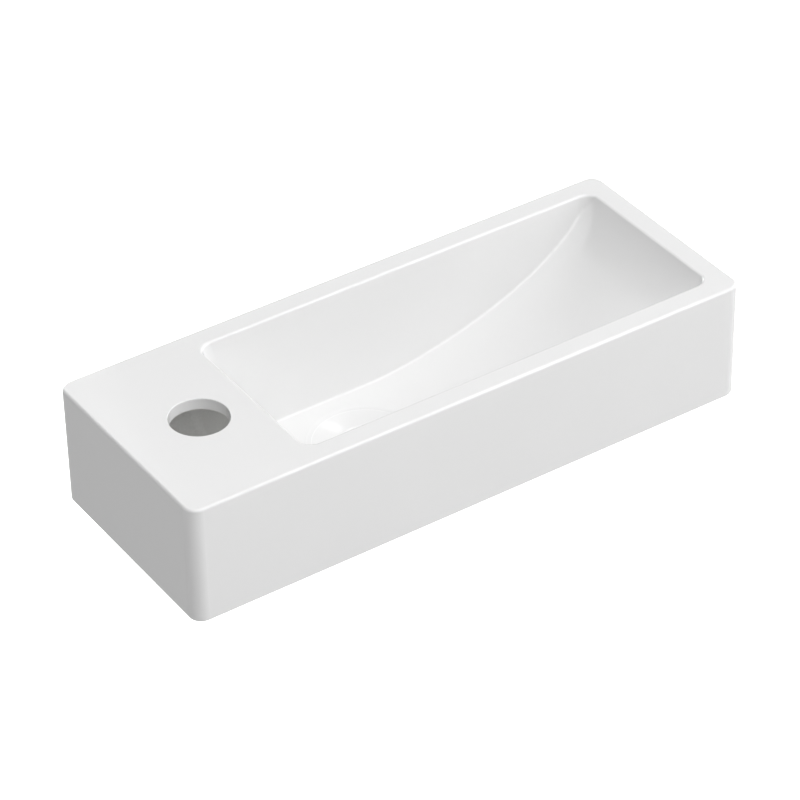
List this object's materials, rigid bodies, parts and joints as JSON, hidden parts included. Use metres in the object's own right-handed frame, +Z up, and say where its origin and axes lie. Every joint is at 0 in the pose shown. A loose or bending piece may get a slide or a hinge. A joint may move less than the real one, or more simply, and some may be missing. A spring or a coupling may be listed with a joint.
{
  "type": "wall-hung wash basin",
  "caption": "Slim wall-hung rectangular basin with a tap deck, a bowl whose floor sweeps up at the far end, and a white click waste with a push plug.",
  "frame": {"origin": "on the wall face, midway between the two wall fixing holes", "axes": "+X along the length away from the tap deck, +Y into the wall, +Z up; the front of the basin faces -Y"},
  "size_m": [0.375, 0.1435, 0.115],
  "materials": {
    "vitreous_china": "white gloss glaze",
    "white_enamel": "white stoved gloss on brass",
    "chromed_brass": "bright chrome plate",
    "brass": "turned, bare",
    "white_silicone": "moulded, satin",
    "black_rubber": "moulded, matt",
    "sealing_fibre": "pressed fibre, matt",
    "polyethylene": "natural, waxy",
    "nylon": "moulded, natural",
    "acetal": "moulded, natural",
    "spring_steel": "drawn wire, bright"
  },
  "bodies": {
    "basin": {"basin_body": "vitreous_china", "fixing_bushes": "nylon", "waste_flange": "white_enamel", "flange_gasket": "white_silicone", "neck_seal": "sealing_fibre", "waste_tail": "chromed_brass", "taper_washer": "black_rubber", "slip_washer": "polyethylene", "back_nut": "brass", "click_pillar": "brass", "click_spring": "spring_steel"},
    "plug": {"plug_cap": "white_enamel", "plug_seal": "black_rubber", "plug_lock_nut": "brass", "click_barrel": "brass", "retaining_ring": "spring_steel"},
    "cam": {"cam_ring": "acetal"}
  },
  "joints": [
    {"name": "plug_press", "type": "slide", "parent": "basin", "child": "plug", "axis": [0, 0, 1], "range_m": [-0.002, 0.007], "deforming": ["click_spring"]},
    {"name": "cam_turn", "type": "hinge", "parent": "plug", "child": "cam", "pos_m": [-0.0296, -0.07175, -0.0463], "axis": [0, 0, 1], "range_deg": [-10.5, 35.5]}
  ],
  "couplings": [
    {"joint": "cam_turn", "follows": "plug_press", "rad_per_m": 87.266}
  ]
}
